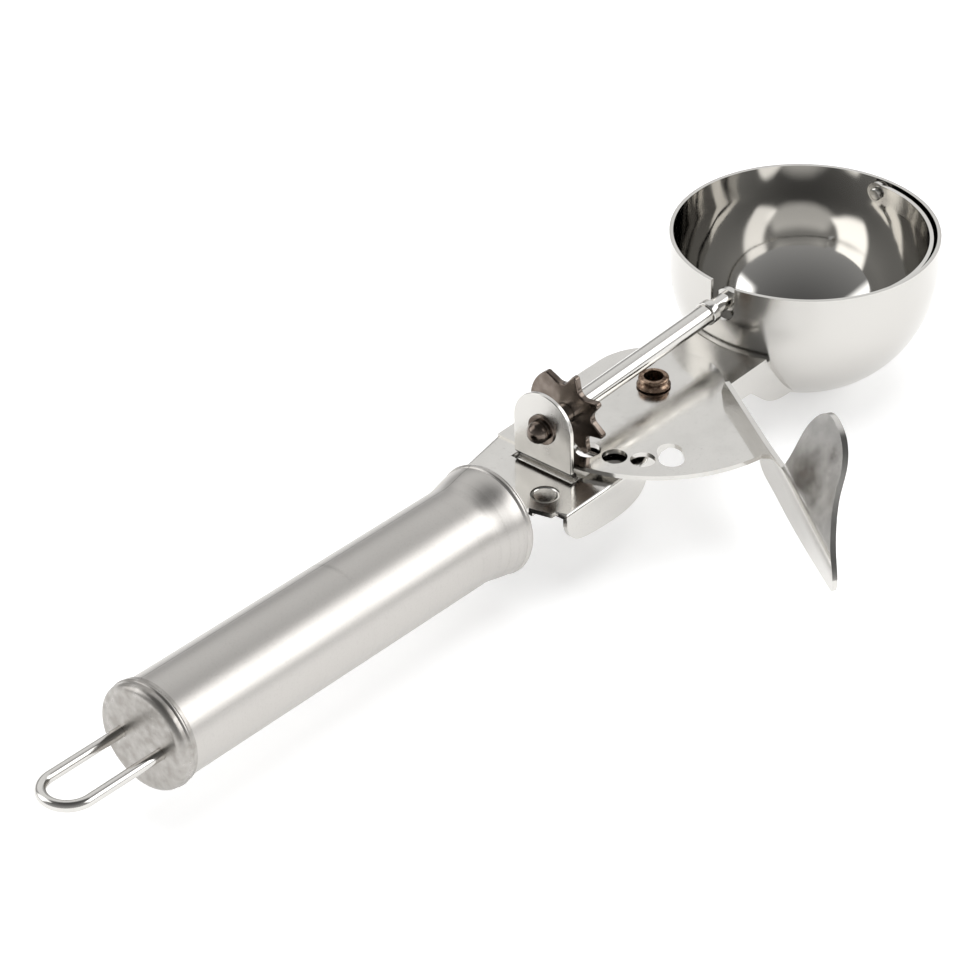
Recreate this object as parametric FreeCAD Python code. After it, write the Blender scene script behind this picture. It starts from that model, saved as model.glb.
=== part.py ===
import FreeCAD, Part
import math
import os

# Lever ice cream scoop, modelled in millimetres.
# Origin: centre of the bowl's rim. +X runs along the scraper shaft towards the far side of the bowl,
# +Z is square to the rim and up, the thumb lever is on the -Y side.

V = FreeCAD.Vector
X, Y, Z = V(1, 0, 0), V(0, 1, 0), V(0, 0, 1)

# bowl
BOWL_R = 28.0
BOWL_WALL = 0.8
ROUND_Z = -6.6                    # height of the centre of the bowl's round bottom
NOTCH_R = 2.95
NOTCH_Z = -5.24
# sheet parts
SHEET = 1.0
RUN_GAP = 0.3                     # gap kept between pieces that move past each other
FIT_GAP = 0.05                    # radial gap of a turning fit
LEVER_TOP = -12.9
LEVER_LOW = LEVER_TOP - SHEET
WASHER_T = 0.5
SHANK_TOP = LEVER_LOW - RUN_GAP - WASHER_T
SHANK_LOW = SHANK_TOP - SHEET
# scraper line, drawn level at the ear's height and then tilted about the ear
AXIS_Z = -5.6
SHAFT_TILT = 1.55
SHAFT_R = 2.1
SHAFT_BORE = 1.1
EAR_HALF = 7.15
EAR_ROUND_Z = -5.0
WHEEL_T = 1.5
WHEEL_TIP = 9.15
WHEEL_ROOT = 6.35
WHEEL_PITCH = 45.0
FIRST_TOOTH = 104.0
TEETH = 5
BAND_REST = -4.0                  # the band rests this far above the shaft's level, in degrees about +X
BAND_OUT = BOWL_R - BOWL_WALL - 0.7
BAND_T = 0.8
BAND_WIDE = 4.5
# lever
PIVOT_X = -50.0
PIVOT_R = 2.45
LEVER_DIR = 237.0                 # direction of the lever's long edge, seen from above
LEVER_EDGE = 12.6                 # distance of that edge's middle from the pivot
LEVER_R = 32.0
LEVER_BACK_R = 14.3
HOLE_RING = LEVER_R - 5.6
HOLE_R = 2.5
HOLE_PITCH = 5.575280              # along the ring
HOLE_STEP = math.degrees(HOLE_PITCH / HOLE_RING)
FIRST_HOLE = 177.7
LAST_HOLE_IN = 3.0                # the last hole is an oblong that reaches this far inside the ring
FLANGE_TOP = -9.6
CROTCH = LEVER_R + 7.9
# the wheel stands in the holes and the ear clears the sector's rim
WHEEL_X = PIVOT_X - HOLE_RING - 0.2
EAR_X = PIVOT_X - LEVER_R - 2.0
# handle
MOUTH = V(EAR_X - 16.5, 0, -17.65)
HANDLE_TILT = 2.14
HANDLE_LEN = 92.6
TUBE_R = 10.0
TUBE_WALL = 0.8
LIP_R = TUBE_R + 1.5
CAP_R = TUBE_R + 0.45
CAP_BEAD_R = TUBE_R + 0.65
LOOP_WIRE = 1.1
LOOP_HALF = 4.9
LOOP_OUT = 17.0
LOOP_DROP = -0.6


def box(x0, x1, y0, y1, z0, z1):
    """Box between two corners."""
    return Part.makeBox(x1 - x0, y1 - y0, z1 - z0, V(x0, y0, z0))


def rod(radius, x0, x1, y=0.0, z=AXIS_Z):
    """Round bar along X."""
    return Part.makeCylinder(radius, x1 - x0, V(x0, y, z), X)


def post(radius, z0, z1, x=0.0, y=0.0):
    """Round bar along Z."""
    return Part.makeCylinder(radius, z1 - z0, V(x, y, z0), Z)


def plan(points, z0, z1):
    """Flat outline seen from above, raised from z0 to z1."""
    corners = [V(x, y, z0) for x, y in points]
    return Part.Face(Part.makePolygon(corners + corners[:1])).extrude(V(0, 0, z1 - z0))


def side(points, y0, y1):
    """Flat outline seen from the side, drawn out from y0 to y1."""
    corners = [V(x, y0, z) for x, z in points]
    return Part.Face(Part.makePolygon(corners + corners[:1])).extrude(V(0, y1 - y0, 0))


def polar(radius, degrees, z=0.0):
    """Point at a radius and a direction in plan."""
    angle = math.radians(degrees)
    return V(radius * math.cos(angle), radius * math.sin(angle), z)


def arc(a, b, c):
    """Arc edge through three points."""
    return Part.Arc(a, b, c).toShape()


def on_shaft(shape):
    """Tilt a piece drawn on the level scraper line about the ear."""
    shape.rotate(V(EAR_X, 0, AXIS_Z), Y, -SHAFT_TILT)
    return shape


def turned(edges, axis):
    """Solid of revolution of a closed profile about an axis through the origin."""
    face = Part.Face(Part.Wire(Part.__sortEdges__(edges)))
    return face.revolve(V(0, 0, 0), axis, 360)


def keep(name, shape):
    """Save one piece."""
    shape = shape.removeSplitter()
    solids = shape.Solids
    if len(solids) != 1 or not solids[0].isValid():
        raise ValueError("%s: %d solids, valid %s" % (name, len(solids), shape.isValid()))
    solids[0].exportStep("parts/%s.step" % name)
    print("%-18s volume %8.1f" % (name, solids[0].Volume))
    return solids[0]


def bowl():
    """Round bowl with a straight skirt, a slot for the shaft and a hole for the far pin."""
    out, inn, low = BOWL_R, BOWL_R - BOWL_WALL, -BOWL_WALL / 2
    s = math.sqrt(0.5)
    edges = [
        Part.makeLine(V(out, 0, ROUND_Z), V(out, 0, low)),
        arc(V(out, 0, low), V((out + inn) / 2, 0, 0), V(inn, 0, low)),
        Part.makeLine(V(inn, 0, low), V(inn, 0, ROUND_Z)),
        arc(V(inn, 0, ROUND_Z), V(inn * s, 0, ROUND_Z - inn * s), V(0, 0, ROUND_Z - inn)),
        Part.makeLine(V(0, 0, ROUND_Z - inn), V(0, 0, ROUND_Z - out)),
        arc(V(0, 0, ROUND_Z - out), V(out * s, 0, ROUND_Z - out * s), V(out, 0, ROUND_Z)),
    ]
    shell = turned(edges, Z)
    slot = rod(NOTCH_R, -BOWL_R - 1, -BOWL_R + 4, 0, NOTCH_Z)
    slot = slot.fuse(box(-BOWL_R - 1, -BOWL_R + 4, -NOTCH_R, NOTCH_R, NOTCH_Z, 2))
    return shell.cut(slot).cut(on_shaft(rod(PIN_R, BOWL_R - 3, BOWL_R + 1)))


PIN_R = 1.0


def far_pin():
    """Rivet through the bowl's far wall that carries the scraper's far end."""
    pin = rod(PIN_R, BAND_OUT - BAND_T - RUN_GAP, BOWL_R + 0.3)
    inner = rod(1.4, BAND_OUT - BAND_T - RUN_GAP - 0.6, BAND_OUT - BAND_T - RUN_GAP)
    inner = inner.makeFillet(0.35, [e for e in inner.Edges if e.CenterOfMass.x < BAND_OUT - BAND_T - RUN_GAP - 0.5])
    dome = Part.makeSphere(2.45, V(BOWL_R - 1.05, 0, AXIS_Z)).common(rod(1.9, BOWL_R - 0.3, BOWL_R + 2))
    outside = on_shaft(dome).cut(post(BOWL_R, -20, 5))
    return on_shaft(pin.fuse(inner)).fuse(outside)


def far_washer():
    """Thin washer between the bowl's wall and the scraper's eye."""
    return on_shaft(rod(2.0, BAND_OUT + 0.3, BAND_OUT + 0.6).cut(rod(PIN_R, BAND_OUT - 1, BAND_OUT + 2)))


def scraper_band():
    """Half-ring blade with a round eye at each end."""
    ring = post(BAND_OUT, AXIS_Z - BAND_WIDE / 2, AXIS_Z + BAND_WIDE / 2)
    ring = ring.cut(post(BAND_OUT - BAND_T, AXIS_Z - BAND_WIDE, AXIS_Z + BAND_WIDE))
    band = ring.common(box(-BOWL_R, BOWL_R, -BOWL_R, 0, AXIS_Z - BOWL_R, AXIS_Z + BOWL_R))
    band.rotate(V(0, 0, AXIS_Z), X, BAND_REST)
    near = rod(EYE_R, -BAND_OUT, -BAND_OUT + EYE_T)
    far = rod(EYE_R, BAND_OUT - BAND_T, BAND_OUT)
    band = band.fuse([near, far])
    band = band.cut(rod(STEM_R, -BAND_OUT - 1, -BAND_OUT + 2))
    return on_shaft(band.cut(rod(PIN_R + FIT_GAP, BAND_OUT - 3, BAND_OUT + 1)))


STEM_R = 1.75
EYE_T = BAND_T + 0.2
EYE_R = 2.45
SHAFT_END = -BOWL_R - 3.5


def scraper_stem():
    """Short bar from the shaft through the bowl's slot, riveted into the blade."""
    core = rod(SHAFT_BORE, SHAFT_END - 7, SHAFT_END)
    neck = rod(STEM_R, SHAFT_END, -BAND_OUT + EYE_T)
    head = rod(2.2, -BAND_OUT + EYE_T, -BAND_OUT + EYE_T + 0.7)
    return on_shaft(core.fuse([neck, head]))


def shaft_ferrule():
    """Ring crimped round the shaft's bowl end."""
    ring = rod(SHAFT_R + 0.4, SHAFT_END - 2.0, SHAFT_END)
    ring = ring.makeFillet(0.2, [e for e in ring.Edges if e.Curve.TypeId == "Part::GeomCircle"])
    return on_shaft(ring.cut(rod(SHAFT_R, SHAFT_END - 3, SHAFT_END + 1)))


def scraper_shaft():
    """Rolled tube that turns the scraper."""
    tube = rod(SHAFT_R, HEAD_X, SHAFT_END)
    return on_shaft(tube.cut(rod(SHAFT_BORE, HEAD_X - 1, SHAFT_END + 1)))


BUSH_FLANGE = 0.4
BUSH_R = 2.7
HEAD_X = EAR_X - SHEET / 2 - BUSH_FLANGE - RUN_GAP
HEAD_R = 2.3


def shaft_head():
    """Ball-shaped rivet closing the shaft behind the ear."""
    ball = Part.makeSphere(HEAD_R, V(HEAD_X - 0.4, 0, AXIS_Z)).common(rod(HEAD_R + 1, HEAD_X - 5, HEAD_X))
    return on_shaft(ball.fuse(rod(SHAFT_BORE, HEAD_X, HEAD_X + 6)))


def ear_bush():
    """Flanged bush in the ear."""
    back = EAR_X - SHEET / 2
    bush = rod(3.2, back - BUSH_FLANGE, back + 0.2).fuse(rod(BUSH_R, back, EAR_X + SHEET / 2 + 0.4))
    bush = bush.cut(rod(SHAFT_R + FIT_GAP, back - 2, EAR_X + 2))
    ear = box(back, EAR_X + SHEET / 2, -9, 9, -20, 9).cut(on_shaft(rod(BUSH_R, EAR_X - 3, EAR_X + 3)))
    return on_shaft(bush).cut(ear)


EAR_BEND_Z = -13.2
EAR_STEP = 0.9


def bearing_bracket():
    """Upright ear that steps back at its bottom, passes a slot in the shank and is welded under it."""
    back, front = EAR_X - SHEET / 2, EAR_X + SHEET / 2
    low = SHANK_LOW - SHEET
    outline = [(back, EAR_ROUND_Z), (back, EAR_BEND_Z), (back + EAR_STEP, EAR_BEND_Z - 1.1), (back + EAR_STEP, SHANK_LOW),
               (EAR_X - 12, SHANK_LOW), (EAR_X - 12, low), (front + EAR_STEP, low), (front + EAR_STEP, EAR_BEND_Z - 0.8),
               (front, EAR_BEND_Z + 0.3), (front, EAR_ROUND_Z)]
    strip = side(outline, -EAR_HALF, EAR_HALF)
    ear = strip.fuse(rod(EAR_HALF, back, front, 0, EAR_ROUND_Z))
    return ear.cut(on_shaft(rod(BUSH_R, EAR_X - 3, EAR_X + 3)))


def star_wheel():
    """Toothed wheel: five teeth on an eight-place pitch with round valleys, and one broad stop lug."""
    def at(radius, angle):
        a = math.radians(angle)
        return V(WHEEL_X - WHEEL_T / 2, radius * math.cos(a), AXIS_Z + radius * math.sin(a))
    shoulder, low = WHEEL_TIP - 0.25, WHEEL_ROOT + 0.72
    edges = []
    for i in range(TEETH):
        tooth = FIRST_TOOTH + i * WHEEL_PITCH
        edges.append(Part.makeLine(at(low, tooth - 11.5), at(shoulder, tooth - 3.6)))
        edges.append(arc(at(shoulder, tooth - 3.6), at(WHEEL_TIP, tooth), at(shoulder, tooth + 3.6)))
        edges.append(Part.makeLine(at(shoulder, tooth + 3.6), at(low, tooth + 11.5)))
        if i < TEETH - 1:
            edges.append(arc(at(low, tooth + 11.5), at(WHEEL_ROOT, tooth + 22.5), at(low, tooth + 33.5)))
    last = FIRST_TOOTH + (TEETH - 1) * WHEEL_PITCH + 11.5
    lug = WHEEL_TIP - 0.1
    edges.append(arc(at(low, last), at(WHEEL_ROOT, last + 14), at(WHEEL_ROOT, 325)))
    edges.append(arc(at(WHEEL_ROOT, 325), at(WHEEL_ROOT, 339), at(WHEEL_ROOT, 352)))
    edges.append(Part.makeLine(at(WHEEL_ROOT, 352), at(lug, 363)))
    edges.append(arc(at(lug, 363), at(lug, 390), at(lug, 418)))
    edges.append(Part.makeLine(at(lug, 418), at(low, 429)))
    edges.append(arc(at(low, 429), at(WHEEL_ROOT, 439), at(low, FIRST_TOOTH + 348.5)))
    wheel = Part.Face(Part.Wire(Part.__sortEdges__(edges))).extrude(V(WHEEL_T, 0, 0))
    return on_shaft(wheel.cut(rod(SHAFT_R, WHEEL_X - 3, WHEEL_X + 3)))


def pivot_eyelet():
    """Tubular rivet that joins the lever to the shank: rolled ring on a flared base, open through its middle."""
    top = LEVER_TOP + RUN_GAP
    ring = post(3.1, top + 0.9, top + 2.0, PIVOT_X)
    ring = ring.makeFillet(0.45, [e for e in ring.Edges if e.Curve.TypeId == "Part::GeomCircle"])
    neck = post(2.8, top, top + 1.5, PIVOT_X)
    base = Part.makeCone(3.45, 2.9, 0.8, V(PIVOT_X, 0, top + 0.2)).fuse(post(3.45, top, top + 0.2, PIVOT_X))
    barrel = post(PIVOT_R, SPRING_CUP_LOW - 0.5, top, PIVOT_X)
    roll = post(3.4, SPRING_CUP_LOW - 0.9, SPRING_CUP_LOW, PIVOT_X)
    return ring.fuse([neck, base, barrel, roll]).cut(post(2.0, -30, 0, PIVOT_X))


SPRING_R = 4.4
SPRING_WIRE = 0.45
SPRING_TURNS = 3
SPRING_PITCH = 1.45
HIGH_LEG = 7.0
LOW_LEG = 8.5
LEG_RISE = SPRING_PITCH / (2 * math.pi * SPRING_R)
SPRING_HIGH = SHANK_LOW - SPRING_WIRE - HIGH_LEG * LEG_RISE - 0.02
SPRING_LOW = SPRING_HIGH - SPRING_TURNS * SPRING_PITCH
SPRING_CUP_TOP = SPRING_LOW - SPRING_WIRE - 3.9 * LEG_RISE - 0.02
SPRING_CUP_LOW = SPRING_CUP_TOP - 0.7


def pivot_washer():
    """Washer the lever slides on."""
    return post(5.0, SHANK_TOP, SHANK_TOP + WASHER_T, PIVOT_X).cut(post(PIVOT_R, -30, 0, PIVOT_X))


def spring_cup():
    """Round plate under the spring, held by the eyelet's rolled end."""
    return post(5.8, SPRING_CUP_LOW, SPRING_CUP_TOP, PIVOT_X).cut(post(PIVOT_R, -30, 0, PIVOT_X))


def bend_arc(a, direction, b):
    """Arc edge from a, leaving along a direction, to b."""
    chord = b - a
    unit = V(chord).normalize()
    lift = direction - unit * direction.dot(unit)
    angle = math.atan2(lift.Length, direction.dot(unit))
    middle = (a + b) * 0.5 + V(lift).normalize() * (chord.Length / 2 * math.tan(angle / 2))
    return arc(a, middle, b)


def coil_point(turn):
    """Point of the spring's centre line and its direction there."""
    angle = 2 * math.pi * turn
    point = V(PIVOT_X + SPRING_R * math.cos(angle), SPRING_R * math.sin(angle), SPRING_LOW + SPRING_PITCH * turn)
    slope = V(-math.sin(angle) * 2 * math.pi * SPRING_R, math.cos(angle) * 2 * math.pi * SPRING_R, SPRING_PITCH)
    return point, slope.normalize()


def return_spring():
    """Three-coil torsion spring round the eyelet with two straight legs."""
    start, first = coil_point(0)
    path = [Part.makeLine(start - first * LOW_LEG, start)]
    for i in range(4 * SPRING_TURNS):
        p0, t0 = coil_point(i / 4)
        p1, t1 = coil_point((i + 1) / 4)
        v, t = p1 - p0, t0 + t1
        a = 2 * (1 - t0.dot(t1))
        d = (-v.dot(t) + math.sqrt(v.dot(t) ** 2 + a * v.dot(v))) / a
        joint = (p0 + t0 * d + p1 - t1 * d) * 0.5
        path.append(bend_arc(p0, t0, joint))
        back = bend_arc(p1, t1 * -1, joint)
        path.append(back)
    end, last = coil_point(SPRING_TURNS)
    path.append(Part.makeLine(end, end + last * HIGH_LEG))
    wire = Part.Wire(Part.__sortEdges__(path))
    ring = Part.Wire(Part.makeCircle(SPRING_WIRE, start - first * LOW_LEG, first))
    print("spring: least gap between coils %.2f mm" % (SPRING_PITCH - 2 * SPRING_WIRE))
    return wire.makePipeShell([ring], True, False)


def beside(x, points):
    """Outline points given from a place on the X axis."""
    return [(x + along, other) for along, other in points]


# The arm's outlines start from the ear and from the bowl's near side.
NEAR_SIDE = -BOWL_R
SADDLE = 12.0
TONGUE_LOW = -27.0
TANG = 48.0
SHANK_OUTLINE = (
    beside(EAR_X, [(-TANG, -6.3), (-13, -6.3), (-12.3, -6.5), (-11.1, -11.2), (-10, -11.3), (-10, -14), (14.4, -14),
                   (24, -10)])
    + beside(NEAR_SIDE, [(SADDLE, -10), (SADDLE, 10)])
    + beside(EAR_X, [(24, 9.5), (14.4, 14.2), (3, 14.2), (-9, 12.4), (-12.5, 10.8), (-13, 8), (-TANG, 8)]))
SHANK_INNER = (
    beside(EAR_X, [(-10, -13), (14, -13), (23.7, -9)])
    + beside(NEAR_SIDE, [(SADDLE + 1, -9), (SADDLE + 1, 9)])
    + beside(EAR_X, [(23.7, 8.5), (14, 13.2), (3, 13.2), (-10, 11.2)]))
FLAP_EDGE = beside(EAR_X, [(-9.9, -17.4), (-9.1, -19.5), (-7.3, -21.3), (-4.5, -22.3), (-0.7, -22.8), (5.4, -23.1),
                           (10.4, -22.4), (13.0, -21.0), (14.2, -19.2)])
TONGUE_EDGE = beside(NEAR_SIDE, [(-3, -20.5), (-0.5, -22.4), (2.5, -24.9), (6.0, -26.5), (9.0, TONGUE_LOW),
                                 (SADDLE, TONGUE_LOW)])


def shank_side():
    """Side view of the down-turned walls: rounded flap, straight waist and rounded tongue."""
    def curve(points):
        spline = Part.BSplineCurve()
        spline.interpolate([V(x, -20, z) for x, z in points])
        return spline.toShape()

    def line(a, b):
        return Part.makeLine(V(a[0], -20, a[1]), V(b[0], -20, b[1]))
    first, last = FLAP_EDGE[0], TONGUE_EDGE[-1]
    edges = [
        line((first[0], SHANK_TOP + 1), first),
        curve(FLAP_EDGE),
        line(FLAP_EDGE[-1], TONGUE_EDGE[0]),
        curve(TONGUE_EDGE),
        line(last, (last[0], SHANK_TOP + 1)),
        line((last[0], SHANK_TOP + 1), (first[0], SHANK_TOP + 1)),
    ]
    return Part.Face(Part.Wire(edges)).extrude(V(0, 40, 0))


def shank():
    """Pressed sheet arm: tang in the handle, down-turned sides and a saddle under the bowl."""
    sheet = plan(SHANK_OUTLINE, SHANK_LOW, SHANK_TOP)
    walls = plan(SHANK_OUTLINE, TONGUE_LOW - 1, SHANK_TOP).cut(plan(SHANK_INNER, TONGUE_LOW - 2, SHANK_LOW))
    walls = walls.common(shank_side())
    ball = Part.makeSphere(BOWL_R, V(0, 0, ROUND_Z))
    cradle = Part.makeSphere(BOWL_R + SHEET, V(0, 0, ROUND_Z))
    cradle = cradle.common(box(NEAR_SIDE - 2, NEAR_SIDE + SADDLE + 2, -10, 10, TONGUE_LOW, SHANK_TOP))
    wheel_slot = box(WHEEL_X - 2.2, WHEEL_X + 2.2, -6.4, 6.4, -20, 0)
    doubler = box(EAR_X + 2.7, EAR_X + 14, 8, 14.2, SHANK_TOP - 0.2, SHANK_TOP + 0.4)
    arm = sheet.fuse([walls, cradle, doubler]).cut(ball)
    relief = Part.makeSphere(BOWL_R + 0.9, V(0, 0, ROUND_Z)).common(post(40, SHANK_TOP - 0.9, SHANK_TOP + 1))
    arm = arm.cut(relief)
    face = EAR_X - SHEET / 2
    ear_slot = box(face + 0.05, face + EAR_STEP + SHEET, -EAR_HALF, EAR_HALF, -20, 0)
    weld = post(2.2, SHANK_TOP - 0.12, SHANK_TOP + 1, EAR_X - 6.9, -6.0)
    return arm.cut(wheel_slot).cut(ear_slot).cut(weld).cut(post(PIVOT_R, -30, 0, PIVOT_X))


def lever_plate():
    """Flat sector of the lever with its five holes, drawn about the pivot with the long edge along +X."""
    edge = LEVER_EDGE + SHEET / 2
    z = LEVER_LOW
    edge_start = V(math.sqrt(LEVER_BACK_R ** 2 - edge ** 2), edge, z)
    edge_end = V(math.sqrt(LEVER_R ** 2 - edge ** 2), edge, z)
    lead = -69.0
    corner = polar(LEVER_R, lead, z)
    back = polar(LEVER_BACK_R, -142.0, z)
    edges = [
        Part.makeLine(edge_start, edge_end),
        arc(edge_end, polar(LEVER_R, -22, z), corner),
        arc(corner, polar(20.6, -96.0, z), back),
        arc(back, polar(LEVER_BACK_R, 150, z), edge_start),
    ]
    face = Part.Face(Part.Wire(edges))
    sector = face.extrude(V(0, 0, SHEET))
    for i in range(TEETH):
        direction = FIRST_HOLE + i * HOLE_STEP - LEVER_DIR
        at = polar(HOLE_RING, direction)
        hole = post(HOLE_R, z - 1, z + 2, at.x, at.y)
        if i == TEETH - 1:
            inner = polar(HOLE_RING - LAST_HOLE_IN, direction)
            strip = box(HOLE_RING - LAST_HOLE_IN, HOLE_RING, -HOLE_R, HOLE_R, z - 1, z + 2)
            strip.rotate(V(0, 0, 0), Z, direction)
            hole = hole.fuse([post(HOLE_R, z - 1, z + 2, inner.x, inner.y), strip])
        sector = sector.cut(hole)
    return sector.cut(post(PIVOT_R + FIT_GAP, z - 1, z + 2))


def pad_outline():
    """Outline of the flange and thumb pad in the upright plane through the lever's long edge."""
    def at(s, h):
        return V(CROTCH + s, 0, FLANGE_TOP + h)
    start = V(math.sqrt(LEVER_BACK_R ** 2 - LEVER_EDGE ** 2) - 1.0, 0, LEVER_LOW)
    rise = V(start.x + 2.2, 0, FLANGE_TOP)
    tip = at(27.6, -9.5)
    top = Part.BSplineCurve()
    top.interpolate([at(0.0, 0.6), at(0.0, 5.0), at(-0.1, 9.0), at(2.2, 12.6), at(6.5, 12.8), at(11.0, 11.2),
                     at(14.7, 8.0), at(17.0, 4.0), at(20.4, 0.0), at(24.7, -3.6), at(28.0, -6.8), tip])
    low = Part.BSplineCurve()
    low.interpolate([tip, at(19.2, -9.4), at(11.1, -9.1), at(2.9, -8.4), at(-5.4, -7.4), at(-10.6, -6.2),
                     at(-12.0, LEVER_LOW - FLANGE_TOP)])
    edges = [
        Part.makeLine(start, rise),
        Part.makeLine(rise, at(-0.6, 0)),
        arc(at(-0.6, 0), at(-0.15, 0.15), at(0.0, 0.6)),
        top.toShape(),
        low.toShape(),
        Part.makeLine(at(-12.0, LEVER_LOW - FLANGE_TOP), start),
    ]
    return Part.Face(Part.Wire(edges)).extrude(V(0, 40, 0))


def bent_sheet():
    """Upright sheet that leans outwards above a bend line falling towards the tip."""
    lean, radius, t = math.radians(30), 6.0, SHEET / 2
    drop = math.atan(0.19)
    bend = V(0, radius, -2.0)

    def ring(r, angle):
        return V(0, bend.y - r * math.cos(angle), bend.z + r * math.sin(angle))
    far = 26.0
    out = V(0, math.sin(lean), math.cos(lean)) * far
    inner, outer = radius - t, radius + t
    edges = [
        Part.makeLine(V(0, -t, -16), V(0, -t, bend.z)),
        arc(ring(outer, 0), ring(outer, lean / 2), ring(outer, lean)),
        Part.makeLine(ring(outer, lean), ring(outer, lean) + out),
        Part.makeLine(ring(outer, lean) + out, ring(inner, lean) + out),
        Part.makeLine(ring(inner, lean) + out, ring(inner, lean)),
        arc(ring(inner, lean), ring(inner, lean / 2), ring(inner, 0)),
        Part.makeLine(V(0, t, bend.z), V(0, t, -16)),
        Part.makeLine(V(0, t, -16), V(0, -t, -16)),
    ]
    sheet = Part.Face(Part.Wire(edges)).extrude(V(60, 0, 0))
    sheet.translate(V(-14, 0, 0))
    sheet.rotate(V(0, 0, 0), Y, math.degrees(drop))
    sheet.translate(V(CROTCH, 0, FLANGE_TOP))
    return sheet


def lever():
    """Lever: holed sector, upright flange and thumb pad pressed from one sheet."""
    outline = pad_outline()
    outline.translate(V(0, -6, 0))
    flange = box(0, CROTCH - 10, -SHEET / 2, SHEET / 2, -20, FLANGE_TOP).common(outline)
    pad = bent_sheet().common(box(CROTCH - 10, 90, -20, 40, -40, 20)).common(outline)
    grip = flange.fuse(pad)
    grip.translate(V(0, LEVER_EDGE, 0))
    body = lever_plate().fuse(grip)
    body.rotate(V(0, 0, 0), Z, LEVER_DIR)
    body.translate(V(PIVOT_X, 0, 0))
    return body


def on_handle(shape):
    """Place a piece drawn from the handle's mouth along +X onto the tilted handle."""
    shape.rotate(V(0, 0, 0), Z, 180)
    shape.rotate(V(0, 0, 0), Y, HANDLE_TILT)
    shape.translate(MOUTH)
    return shape


def handle_tube():
    """Plain tube with a flared and rolled front end."""
    def wall(r, a):
        return V(a, 0, r)
    t = TUBE_WALL
    flare = TUBE_R + 1.1
    end = HANDLE_LEN - 0.8
    edges = [
        Part.makeLine(wall(flare, 1.0), wall(flare, 2.6)),
        arc(wall(flare, 2.6), wall(TUBE_R + 0.72, 4.8), wall(TUBE_R + 0.3, 6.4)),
        arc(wall(TUBE_R + 0.3, 6.4), wall(TUBE_R + 0.08, 7.8), wall(TUBE_R, 9.5)),
        Part.makeLine(wall(TUBE_R, 9.5), wall(TUBE_R, end)),
        Part.makeLine(wall(TUBE_R, end), wall(TUBE_R - t, end)),
        Part.makeLine(wall(TUBE_R - t, end), wall(TUBE_R - t, 9.3)),
        arc(wall(TUBE_R - t, 9.3), wall(TUBE_R + 0.08 - t, 7.6), wall(TUBE_R + 0.3 - t, 6.2)),
        arc(wall(TUBE_R + 0.3 - t, 6.2), wall(TUBE_R + 0.72 - t, 4.6), wall(flare - t, 2.4)),
        Part.makeLine(wall(flare - t, 2.4), wall(flare - t, 1.0)),
        Part.makeLine(wall(flare - t, 1.0), wall(flare, 1.0)),
    ]
    tube = turned(edges, X)
    lip = Part.makeTorus(LIP_R - 0.85, 0.85, V(0.85, 0, 0), X)
    return on_handle(tube.fuse(lip))


def handle_plug():
    """Round plug that holds the tang in the tube."""
    plug = Part.makeCylinder(TUBE_R - TUBE_WALL, 24, V(12.5, 0, 0), X)
    plug = on_handle(plug)
    return plug.cut(box(EAR_X - TANG - 8, EAR_X - 6, -8, 8, SHANK_LOW, SHANK_TOP))


def butt_cap():
    """Pressed cap with a bead round it and two holes for the loop."""
    face = HANDLE_LEN
    skirt = Part.makeCylinder(CAP_R, 3.6, V(face - 3.6, 0, 0), X)
    rim = [e for e in skirt.Edges if e.Curve.TypeId == "Part::GeomCircle" and e.CenterOfMass.x > face - 0.1]
    skirt = skirt.makeFillet(1.4, rim)
    bead = Part.makeTorus(CAP_BEAD_R - 0.6, 0.6, V(face - 2.4, 0, 0), X)
    cap = skirt.fuse(bead)
    cap = cap.cut(Part.makeCylinder(TUBE_R, 10, V(face - 0.8 - 10, 0, 0), X))
    for sign in (-1, 1):
        cap = cap.cut(Part.makeCylinder(LOOP_WIRE, 4, V(face - 2, sign * LOOP_HALF, LOOP_DROP), X))
    return on_handle(cap)


def hanging_loop():
    """Wire hoop through the cap, upset on the inside."""
    inside = HANDLE_LEN - 2.2
    turn = HANDLE_LEN + LOOP_OUT
    y, z = LOOP_HALF, LOOP_DROP
    path = Part.Wire([
        Part.makeLine(V(inside, -y, z), V(turn, -y, z)),
        arc(V(turn, -y, z), V(turn + y, 0, z), V(turn, y, z)),
        Part.makeLine(V(turn, y, z), V(inside, y, z)),
    ])
    ring = Part.Wire(Part.makeCircle(LOOP_WIRE, V(inside, -y, z), X))
    hoop = path.makePipeShell([ring], True, False)
    for sign in (-1, 1):
        hoop = hoop.fuse(Part.makeCylinder(1.7, 1.0, V(HANDLE_LEN - 1.8, sign * y, z), X))
    return on_handle(hoop)


os.makedirs("parts", exist_ok=True)
for make in (bowl, far_pin, far_washer, scraper_band, scraper_stem, shaft_ferrule, scraper_shaft, shaft_head,
             ear_bush, bearing_bracket, star_wheel, pivot_eyelet, pivot_washer, spring_cup, return_spring,
             shank, lever, handle_tube, handle_plug, butt_cap, hanging_loop):
    keep(make.__name__, make())
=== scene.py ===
import bpy
import bmesh
import math
from bpy.props import FloatProperty, FloatVectorProperty, IntProperty
from mathutils import Matrix, Vector


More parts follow.
